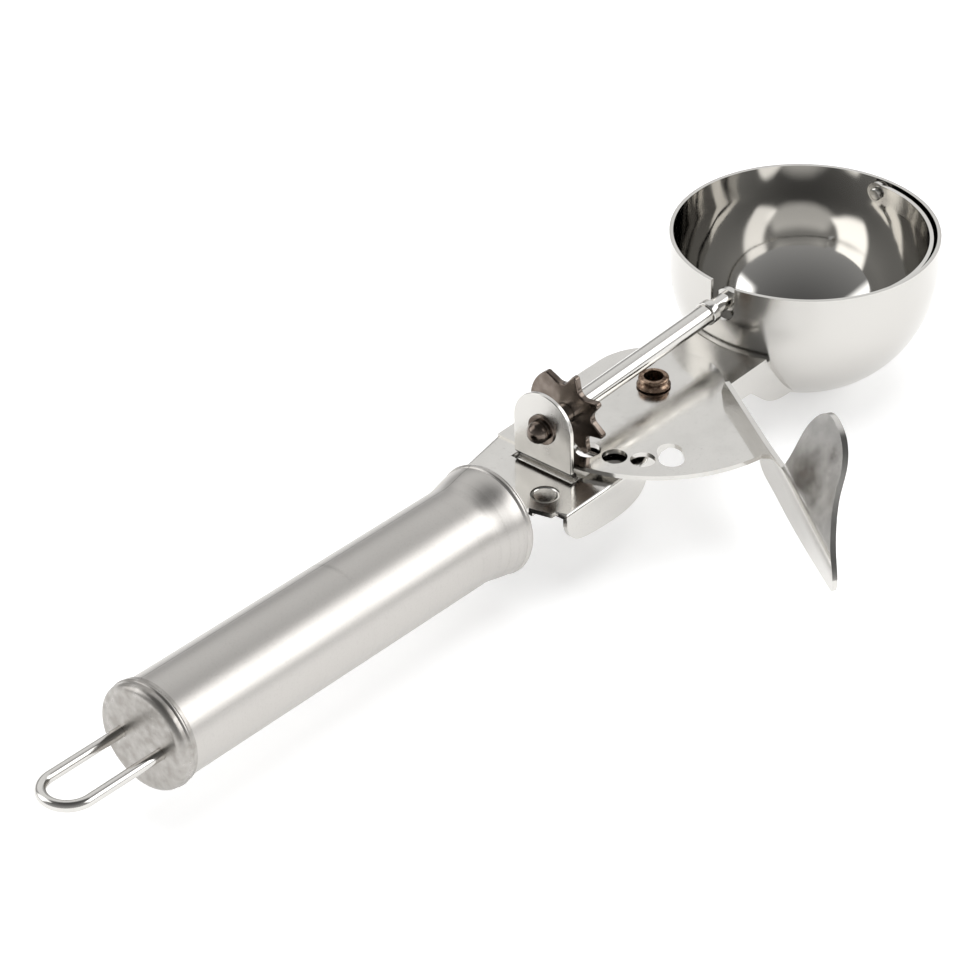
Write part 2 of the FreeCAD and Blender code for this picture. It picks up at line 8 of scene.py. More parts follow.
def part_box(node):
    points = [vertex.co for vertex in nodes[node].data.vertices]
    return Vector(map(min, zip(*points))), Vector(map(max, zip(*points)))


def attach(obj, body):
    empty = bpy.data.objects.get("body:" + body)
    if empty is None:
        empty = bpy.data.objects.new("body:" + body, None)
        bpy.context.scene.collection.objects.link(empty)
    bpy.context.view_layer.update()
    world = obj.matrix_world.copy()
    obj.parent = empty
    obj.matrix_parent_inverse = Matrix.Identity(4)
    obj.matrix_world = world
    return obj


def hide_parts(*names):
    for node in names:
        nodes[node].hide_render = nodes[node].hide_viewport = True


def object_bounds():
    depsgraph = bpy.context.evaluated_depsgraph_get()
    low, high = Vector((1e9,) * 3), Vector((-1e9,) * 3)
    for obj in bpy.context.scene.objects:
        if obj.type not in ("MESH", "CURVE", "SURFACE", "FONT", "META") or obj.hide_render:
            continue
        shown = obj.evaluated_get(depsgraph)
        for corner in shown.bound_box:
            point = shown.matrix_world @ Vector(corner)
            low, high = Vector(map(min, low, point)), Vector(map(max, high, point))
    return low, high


bl_info = {
    "name": "Lever ice cream scoop looks",
    "version": (1, 0, 0),
    "blender": (4, 5, 0),
    "location": "View3D > Sidebar > Scoop",
    "description": "Dresses a lever ice cream scoop in polished, satin and rolled steel",
    "category": "Object",
}

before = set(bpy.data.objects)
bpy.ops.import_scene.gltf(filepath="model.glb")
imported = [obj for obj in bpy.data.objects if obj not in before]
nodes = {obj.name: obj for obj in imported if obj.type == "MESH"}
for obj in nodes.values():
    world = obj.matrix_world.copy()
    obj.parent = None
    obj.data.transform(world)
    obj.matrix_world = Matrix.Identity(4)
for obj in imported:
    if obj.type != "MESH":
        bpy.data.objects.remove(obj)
cad_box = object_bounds()

# Sizes that repeat the construction, in metres.
MM = 0.001
EAR = Vector((-84.0, 0.0, -5.6)) * MM
MOUTH = Vector((-100.5, 0.0, -17.65)) * MM
HANDLE_TILT = math.radians(2.14)
SHAFT_TILT = math.radians(1.55)
BLADE_DROP = math.radians(4.0)
PIVOT_X = -50.0 * MM

# The bowl's slot for the shaft: its half width, the middle of its round foot, its ends along x, and how tall
# the cutter of its square upper part is.
SLOT_RADIUS = 2.95 * MM
SLOT_Z = -5.24 * MM
SLOT_FROM = -30.0 * MM
SLOT_TO = -23.0 * MM
SLOT_TALL = 8.0 * MM

# The arm's folded edges: their height and how far they reach along x, and the fold's rounding.
ARM_FOLDS = (-14.7 * MM, -95.0 * MM, -30.0 * MM)
FOLD_ROUND = 0.7 * MM

# The handle's mouth: how far and over what length it flares, and the rolled lip's radii.
FLARE = 1.15 * MM
FLARE_START = 1.4 * MM
FLARE_END = 9.5 * MM
LIP_ROUND = 0.85 * MM
LIP_RING = 10.65 * MM

# The hanging loop in the handle's frame: where its legs end, where it turns, its half width and its height.
LOOP_START = 90.4 * MM
LOOP_TURN = 109.59 * MM
LOOP_HALF = 4.9 * MM
LOOP_HEIGHT = -0.6 * MM

# The return spring: radius and pitch of its coil, and the lengths of its lower and upper leg.
COIL_RADIUS = 4.4 * MM
COIL_PITCH = 1.45 * MM
LOWER_LEG = 8.5 * MM
UPPER_LEG = 7.0 * MM

MATH = "ShaderNodeMath"
RANGE = "ShaderNodeMapRange"
NOISE = "ShaderNodeTexNoise"
MIX = "ShaderNodeMix"
CIRCLE = "GeometryNodeCurvePrimitiveCircle"

# The handle's own frame: its x runs from the mouth to the butt.
to_butt = Matrix.Rotation(HANDLE_TILT, 4, "Y") @ Matrix.Rotation(math.pi, 4, "Z")
on_handle = Matrix.Translation(MOUTH) @ to_butt


def linear(code):
    """Linear colour with alpha from an sRGB hex code."""
    parts = [int(code[i:i + 2], 16) / 255 for i in (1, 3, 5)]
    return [c / 12.92 if c <= 0.04045 else ((c + 0.055) / 1.055) ** 2.4 for c in parts] + [1.0]


def add(tree, kind, values=None, **settings):
    """Add a node, change its settings, and set or link its inputs.

    Where a value is a node, its first output is linked."""
    node = tree.nodes.new(kind)
    for key, value in settings.items():
        setattr(node, key, value)
    for socket, value in (values or {}).items():
        if isinstance(value, bpy.types.Node):
            value = value.outputs[0]
        if isinstance(value, bpy.types.NodeSocket):
            tree.links.new(value, node.inputs[socket])
        else:
            node.inputs[socket].default_value = value
    return node


# Settings that a user would change

class ScoopSizes(bpy.types.PropertyGroup):
    """Sizes of the scoop's main forms."""
    bowl_radius: FloatProperty(name="Bowl radius", description="Outer radius of the bowl",
                               default=28.0 * MM, subtype="DISTANCE", unit="LENGTH")
    bowl_skirt: FloatProperty(name="Bowl skirt", description="Straight height above the round bottom",
                              default=6.6 * MM, subtype="DISTANCE", unit="LENGTH")
    bowl_wall: FloatProperty(name="Bowl wall", description="Thickness of the bowl's sheet",
                             default=0.8 * MM, subtype="DISTANCE", unit="LENGTH")
    tube_radius: FloatProperty(name="Handle radius", description="Outer radius of the handle tube",
                               default=10.0 * MM, subtype="DISTANCE", unit="LENGTH")
    tube_length: FloatProperty(name="Handle length", description="Length of the handle tube",
                               default=91.8 * MM, subtype="DISTANCE", unit="LENGTH")
    tube_wall: FloatProperty(name="Handle wall", description="Thickness of the handle tube",
                             default=0.8 * MM, subtype="DISTANCE", unit="LENGTH")
    loop_wire: FloatProperty(name="Loop wire radius", description="Radius of the hanging loop's wire",
                             default=1.1 * MM, subtype="DISTANCE", unit="LENGTH")
    spring_wire: FloatProperty(name="Spring wire radius", description="Radius of the return spring's wire",
                               default=0.45 * MM, subtype="DISTANCE", unit="LENGTH")
    spring_turns: IntProperty(name="Spring turns", description="Number of coils", default=3, min=1, max=8)
    edge_round: FloatProperty(name="Edge rounding", description="Width of the rounding on sheet edges",
                              default=0.16 * MM, subtype="DISTANCE", unit="LENGTH")


class ScoopFinishes(bpy.types.PropertyGroup):
    """Colours of the scoop's metals."""
    polished: FloatVectorProperty(name="Polished steel", description="Colour of the bowl",
                                  size=4, subtype="COLOR", default=linear("#cdcbc7"))
    satin: FloatVectorProperty(name="Satin steel", description="Colour of the handle",
                               size=4, subtype="COLOR", default=linear("#c2bfbb"))
    rolled: FloatVectorProperty(name="Rolled sheet", description="Colour of the lever and the arm",
                                size=4, subtype="COLOR", default=linear("#d2d0cc"))
    dark: FloatVectorProperty(name="Dark steel", description="Colour of the wheel and the shaft head",
                              size=4, subtype="COLOR", default=linear("#857b73"))
    copper: FloatVectorProperty(name="Copper", description="Colour of the pivot eyelet",
                                size=4, subtype="COLOR", default=linear("#a8927f"))


class ScoopStage(bpy.types.PropertyGroup):
    """Studio around the scoop."""
    floor_size: FloatProperty(name="Floor size", description="Side of the square floor", default=6.0,
                              subtype="DISTANCE", unit="LENGTH")
    overhead: FloatProperty(name="Overhead light", description="Power of the soft box above", default=9.0,
                            unit="POWER")
    lens: FloatProperty(name="Lens", description="Focal length in millimetres", default=124.54,
                        min=10, max=500)


def sizes():
    return bpy.context.scene.scoop_sizes


def finishes():
    return bpy.context.scene.scoop_finishes


# Making and placing pieces

def new_object(name, mesh):
    """Link a mesh or a curve to the scene as an object at the origin."""
    piece = bpy.data.objects.new(name, mesh)
    bpy.context.scene.collection.objects.link(piece)
    return piece


def clean(mesh, outwards=True):
    """Merge doubles, point the faces outwards and keep only real corners sharp."""
    bm = bmesh.new()
    bm.from_mesh(mesh)
    bmesh.ops.remove_doubles(bm, verts=bm.verts, dist=1e-6)
    if outwards:
        bmesh.ops.recalc_face_normals(bm, faces=bm.faces)
    bm.to_mesh(mesh)
    bm.free()
    mesh.shade_smooth()
    mesh.set_sharp_from_angle(angle=math.radians(35.0))


def face_outwards(mesh, axes=(1, 1, 1)):
    """Turn an open skin whose faces look inwards. Axes leave out the one that a tube runs along."""
    face = mesh.polygons[0]
    if face.normal.dot(face.center * Vector(axes)) < 0:
        mesh.flip_normals()


def baked(piece):
    """Replace a piece's modifiers by the mesh they give."""
    graph = bpy.context.evaluated_depsgraph_get()
    mesh = bpy.data.meshes.new_from_object(piece.evaluated_get(graph))
    name = piece.name
    bpy.data.objects.remove(piece)
    return new_object(name, mesh)


def rounded(piece, width, sharp=35.0):
    """Round the sharp edges of a piece."""
    bevel = piece.modifiers.new("Edge rounding", "BEVEL")
    bevel.width = width
    bevel.segments = 3
    bevel.limit_method = "ANGLE"
    bevel.angle_limit = math.radians(sharp)
    bevel.harden_normals = True
    bevel.miter_outer = "MITER_ARC"


def finish_piece(piece, finish, body, node):
    """Give a piece its material, its body and the node that it stands for."""
    piece.data.materials.clear()
    piece.data.materials.append(material_of(finish))
    for polygon in piece.data.polygons:
        polygon.material_index = 0
    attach(piece, body)
    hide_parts(node)


def mark_folds(bm, height, low_x, high_x):
    """Mark the level outer edges at a height, where the sheet is folded down, for a wider rounding."""
    weight = bm.edges.layers.float.new("bevel_weight_edge")
    for edge in bm.edges:
        a, b = (v.co for v in edge.verts)
        level = abs(a.z - height) < 1e-5 and abs(b.z - height) < 1e-5
        along = low_x < min(a.x, b.x) and max(a.x, b.x) < high_x
        if level and along and len(edge.link_faces) == 2 and edge.calc_face_angle_signed() > 1.0:
            edge[weight] = 1.0


def pressed_copy(node, finish, body, width=None, folds=None, turn=None):
    """Piece made of a node's own mesh: merged, turned if asked, with its folds and edges rounded."""
    bm = bmesh.new()
    bm.from_mesh(nodes[node].data)
    bmesh.ops.remove_doubles(bm, verts=bm.verts, dist=2e-6)
    bmesh.ops.dissolve_limit(bm, angle_limit=math.radians(0.4), verts=bm.verts, edges=bm.edges)
    if folds:
        mark_folds(bm, *folds)
    if turn:
        bm.transform(turn)
    mesh = bpy.data.meshes.new(node + "_piece")
    bm.to_mesh(mesh)
    bm.free()
    if "custom_normal" in mesh.attributes:
        mesh.attributes.remove(mesh.attributes["custom_normal"])
    mesh.shade_smooth()
    mesh.set_sharp_from_angle(angle=math.radians(35.0))
    piece = new_object(node + "_piece", mesh)
    if folds:
        bend = piece.modifiers.new("Fold rounding", "BEVEL")
        bend.width = FOLD_ROUND
        bend.segments = 5
        bend.limit_method = "WEIGHT"
        bend.use_clamp_overlap = False
    rounded(piece, width or sizes().edge_round)
    finish_piece(piece, finish, body, node)


def lathe(name, profile, place, steps=128):
    """Closed piece turned about its own x axis from (along, radius) points that start and end on the axis."""
    points = []
    rings = []
    for along, radius in profile:
        count = 1 if radius < 1e-7 else steps
        rings.append([len(points) + i for i in range(count)])
        for i in range(count):
            angle = 2 * math.pi * i / steps
            points.append(place @ Vector((along, radius * math.cos(angle), radius * math.sin(angle))))
    faces = []
    for low, high in zip(rings, rings[1:]):
        for i in range(steps):
            j = (i + 1) % steps
            corners = [low[i % len(low)], low[j % len(low)], high[j % len(high)], high[i % len(high)]]
            faces.append(list(dict.fromkeys(corners)))
    mesh = bpy.data.meshes.new(name)
    mesh.from_pydata(points, [], faces)
    clean(mesh)
    return new_object(name, mesh)


# Geometry Nodes trees

def new_tree(name, sockets):
    """Geometry Nodes tree with named inputs, its input node and the material input."""
    tree = bpy.data.node_groups.new(name, "GeometryNodeTree")
    face = tree.interface
    face.new_socket("Geometry", in_out="OUTPUT", socket_type="NodeSocketGeometry")
    face.new_socket("Geometry", in_out="INPUT", socket_type="NodeSocketGeometry")
    for label, kind in sockets:
        face.new_socket(label, in_out="INPUT", socket_type=kind)
    face.new_socket("Material", in_out="INPUT", socket_type="NodeSocketMaterial")
    return tree, add(tree, "NodeGroupInput")


def end_tree(tree, given, geometry):
    """Close a tree with merged points, Realize Instances and Set Material."""
    merged = add(tree, "GeometryNodeMergeByDistance", {"Geometry": geometry, "Distance": 1e-6})
    smooth = add(tree, "GeometryNodeSetShadeSmooth", {"Geometry": merged})
    real = add(tree, "GeometryNodeRealizeInstances", {"Geometry": smooth})
    painted = add(tree, "GeometryNodeSetMaterial", {"Geometry": real, "Material": given.outputs["Material"]})
    add(tree, "NodeGroupOutput", {"Geometry": painted})
    return tree


def wire_tree():
    """Round wire swept along a curve."""
    tree, given = new_tree("Wire along a curve", [("Wire radius", "NodeSocketFloat"),
                                                  ("Sides", "NodeSocketInt")])
    section = add(tree, CIRCLE, {"Resolution": given.outputs["Sides"], "Radius": given.outputs["Wire radius"]})
    wire = add(tree, "GeometryNodeCurveToMesh", {"Curve": given.outputs["Geometry"], "Profile Curve": section,
                                                 "Fill Caps": True})
    return end_tree(tree, given, wire)


def bowl_tree():
    """Skin of the bowl: a quarter circle turned round the axis, and a straight skirt above it."""
    tree, given = new_tree("Bowl skin", [("Radius", "NodeSocketFloat"), ("Skirt", "NodeSocketFloat"),
                                         ("Sides", "NodeSocketInt"), ("Rings", "NodeSocketInt")])
    radius = given.outputs["Radius"]
    line = add(tree, "GeometryNodeCurvePrimitiveLine", {"Start": (0, 0, 0), "End": (0, 0, 1)})
    rings = add(tree, "GeometryNodeResampleCurve", {"Curve": line, "Count": given.outputs["Rings"]})
    last = add(tree, MATH, {0: given.outputs["Rings"], 1: 1.0}, operation="SUBTRACT")
    index = add(tree, "GeometryNodeInputIndex")
    along = add(tree, MATH, {0: index, 1: last}, operation="DIVIDE")
    # The first nine tenths of the rings are the round bottom, the rest the skirt.
    share = 0.9
    angle = add(tree, RANGE, {"Value": along, "From Max": share, "To Max": math.pi / 2})
    rise = add(tree, RANGE, {"Value": along, "From Min": share, "To Max": given.outputs["Skirt"]})
    cosine = add(tree, MATH, {0: angle}, operation="COSINE")
    sunk = add(tree, MATH, {0: cosine, 1: radius}, operation="MULTIPLY")
    height = add(tree, MATH, {0: rise, 1: sunk}, operation="SUBTRACT")
    sine = add(tree, MATH, {0: angle}, operation="SINE")
    wide = add(tree, MATH, {0: sine, 1: radius}, operation="MULTIPLY")
    width = add(tree, MATH, {0: wide, 1: 1e-6}, operation="MAXIMUM")
    place = add(tree, "ShaderNodeCombineXYZ", {"Z": height})
    spine = add(tree, "GeometryNodeSetPosition", {"Geometry": rings, "Position": place})
    section = add(tree, CIRCLE, {"Resolution": given.outputs["Sides"], "Radius": 1.0})
    skin = add(tree, "GeometryNodeCurveToMesh", {"Curve": spine, "Profile Curve": section, "Scale": width})
    return end_tree(tree, given, skin)


def tube_tree():
    """Skin of the handle: a straight tube that flares smoothly at its mouth."""
    tree, given = new_tree("Handle skin", [("Radius", "NodeSocketFloat"), ("Length", "NodeSocketFloat"),
                                           ("Flare", "NodeSocketFloat"), ("Flare start", "NodeSocketFloat"),
                                           ("Flare end", "NodeSocketFloat"), ("Sides", "NodeSocketInt"),
                                           ("Rings", "NodeSocketInt")])
    line = add(tree, "GeometryNodeCurvePrimitiveLine", {"Start": (0, 0, 0), "End": (1, 0, 0)})
    rings = add(tree, "GeometryNodeResampleCurve", {"Curve": line, "Count": given.outputs["Rings"]})
    along = add(tree, "GeometryNodeSplineParameter")
    distance = add(tree, MATH, {0: along, 1: given.outputs["Length"]}, operation="MULTIPLY")
    opening = add(tree, RANGE, {"Value": distance, "From Min": given.outputs["Flare start"],
                                "From Max": given.outputs["Flare end"], "To Min": 1.0, "To Max": 0.0},
                  interpolation_type="SMOOTHSTEP")
    wide = add(tree, MATH, {0: opening, 1: given.outputs["Flare"], 2: given.outputs["Radius"]},
               operation="MULTIPLY_ADD")
    place = add(tree, "ShaderNodeCombineXYZ", {"X": distance})
    spine = add(tree, "GeometryNodeSetPosition", {"Geometry": rings, "Position": place})
    section = add(tree, CIRCLE, {"Resolution": given.outputs["Sides"], "Radius": 1.0})
    skin = add(tree, "GeometryNodeCurveToMesh", {"Curve": spine, "Profile Curve": section, "Scale": wide})
    return end_tree(tree, given, skin)


def grown(piece, tree, values):
    """Run a tree on a piece with named values and return the plain mesh object."""
    modifier = piece.modifiers.new(tree.name, "NODES")
    modifier.node_group = tree
    for item in tree.interface.items_tree:
        if item.in_out == "INPUT" and item.name in values:
            modifier[item.identifier] = values[item.name]
    return baked(piece)


# Materials

def new_material(name, metallic=1.0):
    """New material, its node tree, its shader and the socket of its Object coordinates."""
    material = bpy.data.materials.new(name)
    material.use_nodes = True
    tree = material.node_tree
    tree.nodes.clear()
    shader = add(tree, "ShaderNodeBsdfPrincipled", {"Metallic": metallic})
    add(tree, "ShaderNodeOutputMaterial", {"Surface": shader})
    place = add(tree, "ShaderNodeTexCoord").outputs["Object"]
    return material, tree, shader, place


def drive(tree, shader, colour, rough, bump):
    """Link what a finish has worked out to its shader."""
    tree.links.new(colour, shader.inputs["Base Color"])
    tree.links.new(rough.outputs[0], shader.inputs["Roughness"])
    tree.links.new(bump.outputs[0], shader.inputs["Normal"])


def polished_bowl_steel():
    """Deep drawn stainless steel, mirror polished inside and buffed outside.

    The inside gives clear but slightly wavy reflections, the outside a soft bright mirror."""
    material, tree, shader, place = new_material("polished_bowl_steel")
    size = sizes()
    # The distance from the bottom's middle, or from the skirt's axis, tells the inner skin from the outer.
    x, y, z = add(tree, "ShaderNodeSeparateXYZ", {0: place}).outputs
    height = add(tree, MATH, {0: z, 1: size.bowl_skirt}, operation="ADD")
    sunk = add(tree, MATH, {0: height, 1: 0.0}, operation="MINIMUM")
    from_middle = add(tree, "ShaderNodeCombineXYZ", {"X": x, "Y": y, "Z": sunk})
    reach = add(tree, "ShaderNodeVectorMath", {0: from_middle}, operation="LENGTH").outputs["Value"]
    between_skins = size.bowl_radius - size.bowl_wall / 2
    outside = add(tree, MATH, {0: reach, 1: between_skins}, operation="GREATER_THAN")
    smudge = add(tree, NOISE, {"Vector": place, "Scale": 1 / (9 * MM), "Detail": 3.0})
    haze = add(tree, RANGE, {"Value": smudge, "From Min": 0.35, "From Max": 0.7, "To Max": 0.05})
    base = add(tree, RANGE, {"Value": outside, "To Min": 0.045, "To Max": 0.2})
    rough = add(tree, MATH, {0: base, 1: haze}, operation="ADD")
    # Drawing marks run up the wall and bend the reflections; real ones are 6 to 10 mm apart.
    stretch = add(tree, "ShaderNodeMapping", {"Vector": place, "Scale": (1.0, 1.0, 0.35)})
    wave = add(tree, NOISE, {"Vector": stretch, "Scale": 1 / (8 * MM), "Detail": 1.0})
    bump = add(tree, "ShaderNodeBump", {"Height": wave, "Strength": 0.5, "Distance": 0.15 * MM})
    tree.links.new(rough.outputs[0], shader.inputs["Roughness"])
    tree.links.new(bump.outputs[0], shader.inputs["Normal"])
    shader.inputs["Base Color"].default_value = finishes().polished
    return material


def satin_tube_steel():
    """Thin stainless tube, tumbled to a satin: a soft broad sheen with a fine speckled grain."""
    material, tree, shader, place = new_material("satin_tube_steel")
    seam_at, seam_half = math.radians(-20.0), 0.011
    grip_at, grip_reach = 42.5 * MM, 0.8 * MM
    local = add(tree, "ShaderNodeMapping", {"Vector": place, "Location": -MOUTH})
    own = add(tree, "ShaderNodeMapping", {"Vector": local, "Rotation": (0.0, -HANDLE_TILT, math.pi)})
    along, across, up = add(tree, "ShaderNodeSeparateXYZ", {0: own}).outputs
    # Grain of about 0.4 mm, twice the real size, so that it shows.
    grain = add(tree, NOISE, {"Vector": own, "Scale": 1 / (0.4 * MM), "Detail": 2.0})
    cloud = add(tree, NOISE, {"Vector": own, "Scale": 1 / (14 * MM), "Detail": 3.0})
    rough = add(tree, RANGE, {"Value": cloud, "To Min": 0.3, "To Max": 0.4})
    # Rubbing marks run round the tube, strongest at the flare.
    ring = add(tree, "ShaderNodeMapping", {"Vector": own, "Scale": (1.0, 0.02, 0.02)})
    rubbed = add(tree, NOISE, {"Vector": ring, "Scale": 1 / (0.7 * MM), "Detail": 4.0})
    near_mouth = add(tree, RANGE, {"Value": along, "From Min": 4 * MM, "From Max": 18 * MM, "To Min": 1.0,
                                   "To Max": 0.15})
    even = add(tree, MATH, {0: rubbed, 1: 0.5}, operation="SUBTRACT")
    scuff = add(tree, MATH, {0: even, 1: near_mouth}, operation="MULTIPLY")
    # The tube's lengthwise seam is a hair line on its upper side.
    angle = add(tree, MATH, {0: across, 1: up}, operation="ARCTAN2")
    seam_off = add(tree, MATH, {0: angle, 1: seam_at}, operation="SUBTRACT")
    seam_off = add(tree, MATH, {0: seam_off}, operation="ABSOLUTE")
    seam = add(tree, MATH, {0: seam_off, 1: seam_half}, operation="LESS_THAN")
    # A faint dark ring is left where the tube was gripped.
    grip_off = add(tree, MATH, {0: along, 1: grip_at}, operation="SUBTRACT")
    grip_off = add(tree, MATH, {0: grip_off}, operation="ABSOLUTE")
    grip = add(tree, RANGE, {"Value": grip_off, "From Max": grip_reach, "To Min": 0.22, "To Max": 0.0})
    upper = add(tree, RANGE, {"Value": across, "From Min": -1 * MM, "From Max": 5 * MM, "To Min": 1.0,
                              "To Max": 0.0})
    mark = add(tree, MATH, {0: grip, 1: upper}, operation="MULTIPLY")
    mark = add(tree, MATH, {0: seam, 1: 0.45, 2: mark}, operation="MULTIPLY_ADD")
    mark = add(tree, MATH, {0: scuff, 1: 0.5, 2: mark}, operation="MULTIPLY_ADD")
    # The grain lightens and darkens by an eighth.
    fine = add(tree, MATH, {0: grain, 1: 0.25, 2: -0.125}, operation="MULTIPLY_ADD")
    mark = add(tree, MATH, {0: mark, 1: fine}, operation="ADD", use_clamp=True)
    paint = add(tree, MIX, {0: mark, 6: finishes().satin, 7: linear("#5a5650")}, data_type="RGBA")
    height = add(tree, MATH, {0: scuff, 1: 2.0, 2: grain}, operation="MULTIPLY_ADD")
    bump = add(tree, "ShaderNodeBump", {"Height": height, "Strength": 0.25, "Distance": 0.05 * MM})
    drive(tree, shader, paint.outputs[2], rough, bump)
    return material


def rolled_sheet_steel(name="rolled_sheet_steel", low=0.1, high=0.24, shade_band=None):
    """Bright rolled stainless sheet: a slightly hazy mirror with smudges and fine handling scratches.

    Low and high are the ends of its roughness. The last argument is a pair of heights between which painted
    shade darkens the fold, standing in for its shadow."""
    material, tree, shader, place = new_material(name)
    smudge = add(tree, NOISE, {"Vector": place, "Scale": 1 / (5 * MM), "Detail": 4.0})
    rough = add(tree, RANGE, {"Value": smudge, "From Min": 0.3, "From Max": 0.7, "To Min": low,
                              "To Max": high})
    speck = add(tree, NOISE, {"Vector": place, "Scale": 1 / (0.5 * MM), "Detail": 3.0})
    stain = add(tree, RANGE, {"Value": speck, "From Min": 0.62, "From Max": 0.8, "To Max": 0.35})
    paint = add(tree, MIX, {0: stain, 6: finishes().rolled, 7: linear("#8b857d")}, data_type="RGBA")
    if shade_band:
        # Painted shade: the thin band under the fold, where the sheet lies in shadow, is mixed towards near
        # black.
        fade = 0.2 * MM
        height = add(tree, "ShaderNodeSeparateXYZ", {0: place}).outputs["Z"]
        over = add(tree, RANGE, {"Value": height, "From Min": shade_band[0], "From Max": shade_band[0] + fade})
        under = add(tree, RANGE, {"Value": height, "From Min": shade_band[1] - fade, "From Max": shade_band[1],
                                  "To Min": 1.0, "To Max": 0.0})
        dark = add(tree, MATH, {0: over, 1: under}, operation="MULTIPLY")
        paint = add(tree, MIX, {0: dark, 6: paint.outputs[2], 7: linear("#241f1b")}, data_type="RGBA")
    bump = add(tree, "ShaderNodeBump", {"Height": smudge, "Strength": 0.15, "Distance": 0.1 * MM})
    drive(tree, shader, paint.outputs[2], rough, bump)
    return material


def folded_sheet_steel():
    """The ear's sheet: hazier than the lever's, with painted shade along the fold at its foot that shows as a
    thin dark line.
    """
    return rolled_sheet_steel("folded_sheet_steel", 0.16, 0.3, (-14.4 * MM, -13.1 * MM))


def buffed_bar_steel():
    """Buffed rod, wire and strip: the clearest and narrowest highlights after the bowl's inside."""
    return rolled_sheet_steel("buffed_bar_steel", 0.08, 0.18)


def worn_metal(name, colour, deep, low, high, grain):
    """Metal with darker patches of its own colour and uneven gloss between two roughnesses."""
    material, tree, shader, place = new_material(name)
    patch = add(tree, NOISE, {"Vector": place, "Scale": 1 / grain, "Detail": 5.0})
    where = add(tree, RANGE, {"Value": patch, "From Min": 0.35, "From Max": 0.65})
    paint = add(tree, MIX, {0: where, 6: colour, 7: deep}, data_type="RGBA")
    rough = add(tree, RANGE, {"Value": patch, "From Min": 0.3, "From Max": 0.7, "To Min": low,
                              "To Max": high})
    bump = add(tree, "ShaderNodeBump", {"Height": patch, "Strength": 0.2, "Distance": 0.05 * MM})
    drive(tree, shader, paint.outputs[2], rough, bump)
    return material


def oxidised_steel():
    """Oxidised steel of the wheel, the bush and the shaft's head: brown grey, dark and glossy."""
    return worn_metal("oxidised_steel", finishes().dark, linear("#5a5049"), 0.12, 0.26, 3.5 * MM)


def tumbled_cap_steel():
    """Tumbled steel of the butt cap: a mottled mid grey without clear reflections."""
    return worn_metal("tumbled_cap_steel", linear("#b2afab"), linear("#a09c97"), 0.26, 0.4, 1.8 * MM)


def worn_copper_plate():
    """Copper plating of the pivot, worn to a dull grey brown with dark specks."""
    return worn_metal("worn_copper_plate", finishes().copper, linear("#5f4a3d"), 0.25, 0.42, 0.9 * MM)


def moulded_nylon():
    """Moulded nylon plug: dull dark grey, hidden in the handle's mouth."""
    material, tree, shader, place = new_material("moulded_nylon", metallic=0.0)
    shader.inputs["Base Color"].default_value = linear("#45474a")
    grain = add(tree, NOISE, {"Vector": place, "Scale": 1 / (0.3 * MM)})
    rough = add(tree, RANGE, {"Value": grain, "To Min": 0.5, "To Max": 0.65})
    tree.links.new(rough.outputs[0], shader.inputs["Roughness"])
    return material


made = {}


def material_of(finish):
    """The material that a finish's function gives, made once."""
    if finish not in made:
        made[finish] = finish()
    return made[finish]


# Operators, one for each piece or group of like pieces

class SCOOP_OT_bowl(bpy.types.Operator):
    """Make the polished bowl with its slot for the shaft"""
    bl_idname = "scoop.bowl"
    bl_label = "Bowl"

    def execute(self, context):
        size = sizes()
        seed = new_object("bowl_piece", bpy.data.meshes.new("bowl_piece"))
        values = {"Radius": size.bowl_radius, "Skirt": size.bowl_skirt, "Sides": 256, "Rings": 111,
                  "Material": material_of(polished_bowl_steel)}
        bowl = grown(seed, bowl_tree(), values)
        bowl.data.transform(Matrix.Translation((0, 0, -size.bowl_skirt)))
        clean(bowl.data)
        face_outwards(bowl.data)
        wall = bowl.modifiers.new("Wall", "SOLIDIFY")
        wall.thickness = size.bowl_wall
        wall.offset = -1
        wall.use_even_offset = True
        cutters = slot_cutters()
        for cutter in cutters:
            cut = bowl.modifiers.new("Slot", "BOOLEAN")
            cut.operation = "DIFFERENCE"
            cut.object = cutter
            cut.solver = "EXACT"
        bowl = baked(bowl)
        for cutter in cutters:
            bpy.data.objects.remove(cutter)
        clean(bowl.data, outwards=False)
        rounded(bowl, 0.25 * MM, sharp=50.0)
        finish_piece(bowl, polished_bowl_steel, "frame", "bowl")
        return {"FINISHED"}


def slot_cutters():
    """Round foot and square upper part of the slot in the bowl's wall."""
    profile = [(SLOT_FROM, 0), (SLOT_FROM, SLOT_RADIUS), (SLOT_TO, SLOT_RADIUS), (SLOT_TO, 0)]
    foot = lathe("slot_foot", profile, Matrix.Translation((0, 0, SLOT_Z)), steps=64)
    block = bpy.data.meshes.new("slot_block")
    bm = bmesh.new()
    bmesh.ops.create_cube(bm, size=1.0)
    bmesh.ops.scale(bm, vec=Vector((SLOT_TO - SLOT_FROM, 2 * SLOT_RADIUS, SLOT_TALL)), verts=bm.verts)
    middle = Vector(((SLOT_FROM + SLOT_TO) / 2, 0, SLOT_Z + SLOT_TALL / 2))
    bmesh.ops.translate(bm, vec=middle, verts=bm.verts)
    bm.to_mesh(block)
    bm.free()
    return foot, new_object("slot_block", block)


